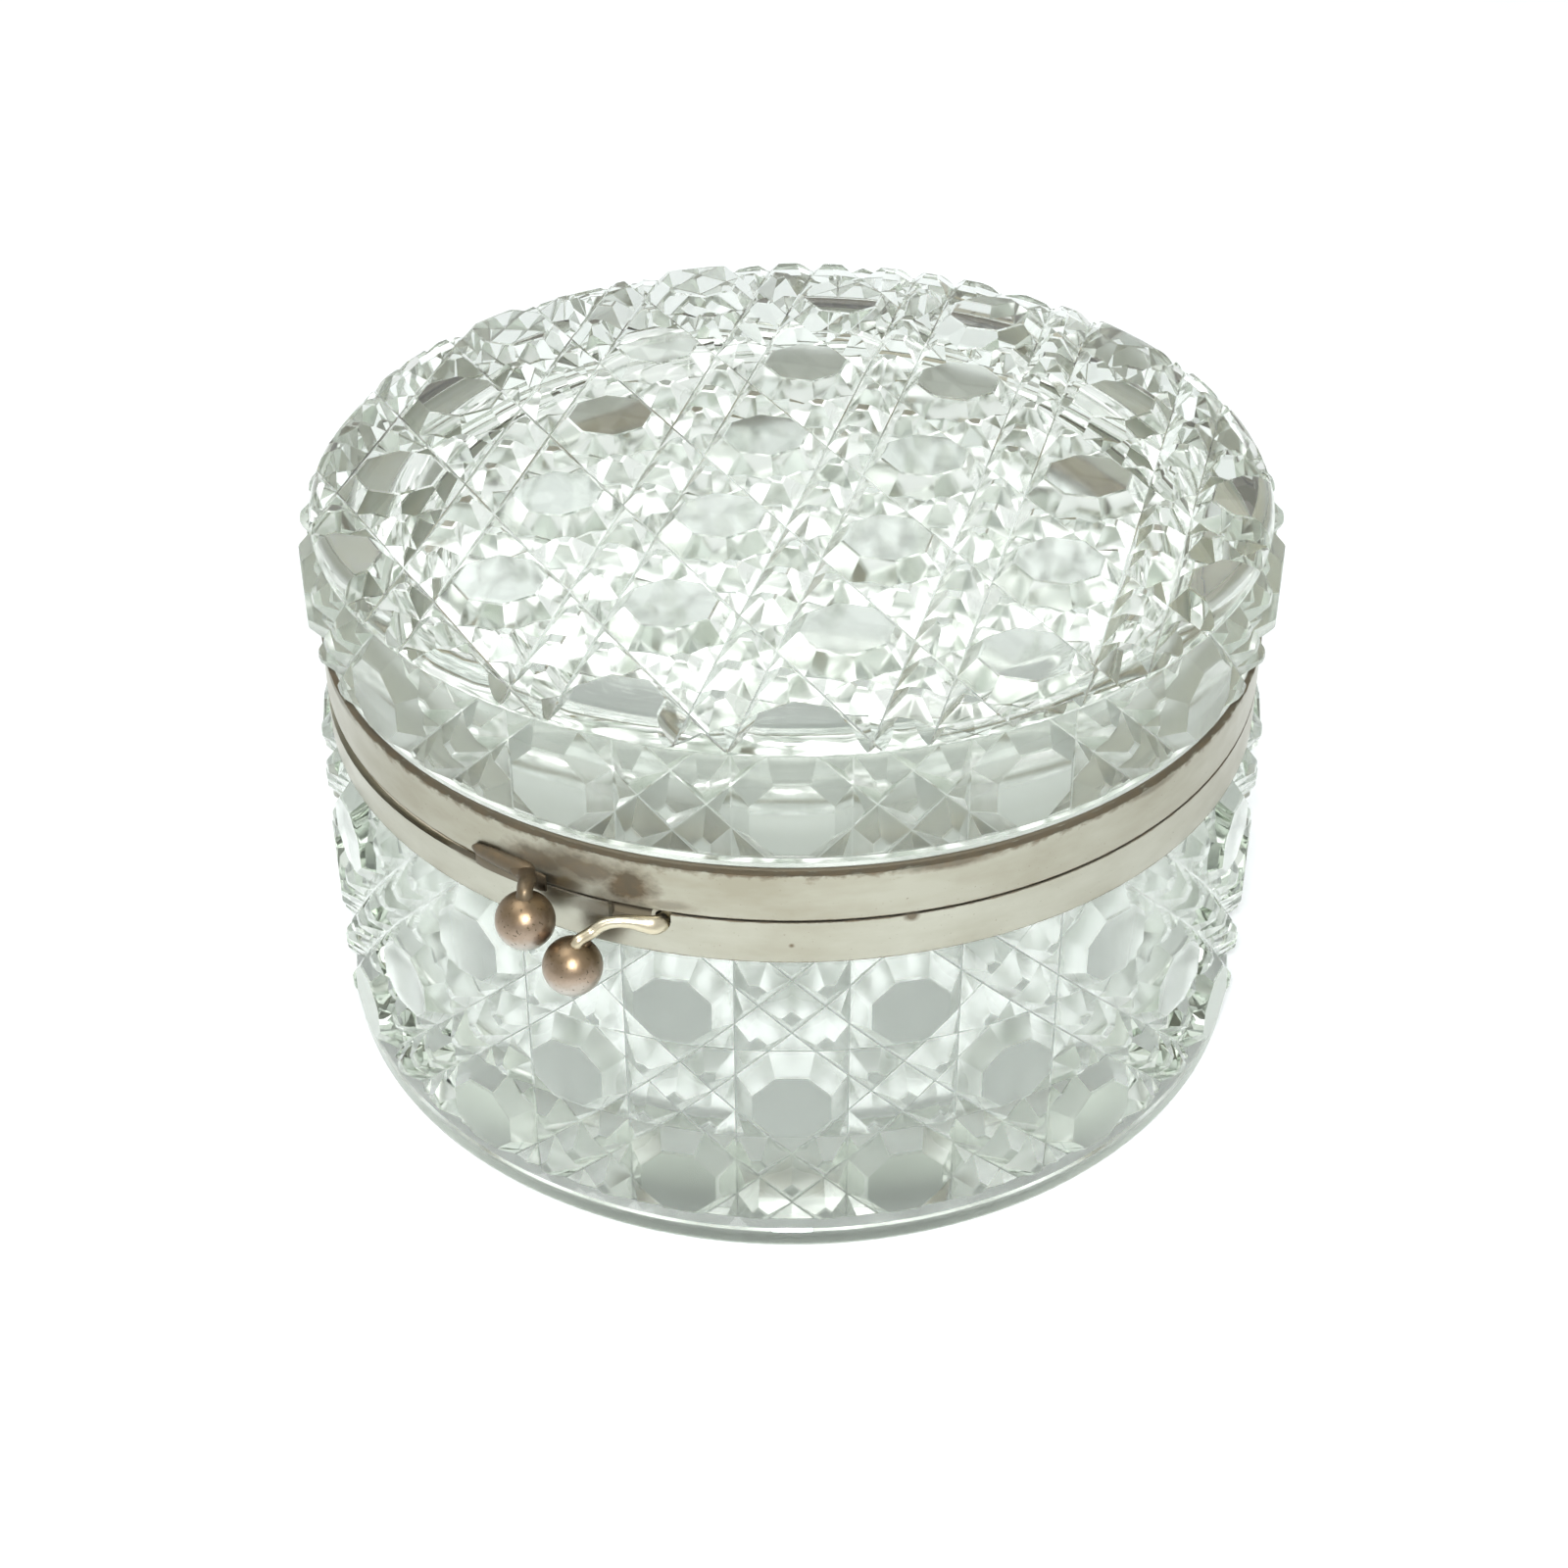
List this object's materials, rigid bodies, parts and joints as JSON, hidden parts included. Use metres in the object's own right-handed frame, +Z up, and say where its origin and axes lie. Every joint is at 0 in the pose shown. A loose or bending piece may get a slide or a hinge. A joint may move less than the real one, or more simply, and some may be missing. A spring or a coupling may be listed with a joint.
{
  "type": "powder jar",
  "caption": "Round cut-glass powder jar for a dressing table, with a hinged glass lid, metal collars and a two-ball spring clasp.",
  "frame": {"origin": "centre of the flat foot, on the surface the jar stands on", "axes": "+Z up through the lid; the clasp faces -Y and the hinge is at +Y"},
  "size_m": [0.1188, 0.1286, 0.0732],
  "materials": {
    "cut_glass": "clear cut glass, polished, with a faint grey-green tint",
    "cement": "matt off-white plaster",
    "collar_metal": "worn silvered brass, satin, with brown tarnish",
    "ring_metal": "dull brass, turned",
    "hinge_metal": "worn silvered brass",
    "tab_metal": "dark brown tarnished brass",
    "wire_metal": "worn brass wire, smooth",
    "ball_metal": "polished brown bronze patina"
  },
  "bodies": {
    "jar": {"base_glass": "cut_glass", "lower_cement": "cement", "lower_collar": "collar_metal", "lower_rim_ring": "ring_metal", "locating_lip": "ring_metal", "lower_hinge_leaf": "hinge_metal", "hinge_pin": "hinge_metal", "latch_anchor": "ring_metal"},
    "lid": {"lid_glass": "cut_glass", "upper_cement": "cement", "upper_collar": "collar_metal", "upper_rim_ring": "ring_metal", "upper_hinge_leaf": "hinge_metal", "lid_tab": "tab_metal", "tab_stem": "wire_metal", "lid_ball": "ball_metal"},
    "latch": {"latch_arm": "wire_metal", "latch_ball": "ball_metal"}
  },
  "joints": [
    {"name": "lid_hinge", "type": "hinge", "parent": "jar", "child": "lid", "pos_m": [0, 0.0605, 0.049], "axis": [-1, 0, 0], "range_deg": [0, 100]},
    {"name": "latch_flex", "type": "hinge", "parent": "jar", "child": "latch", "pos_m": [0.01117, -0.0559, 0.0476], "axis": [0.1959, -0.9806, 0], "range_deg": [0, 10], "stiffness_Nm_per_rad": 0.02}
  ]
}
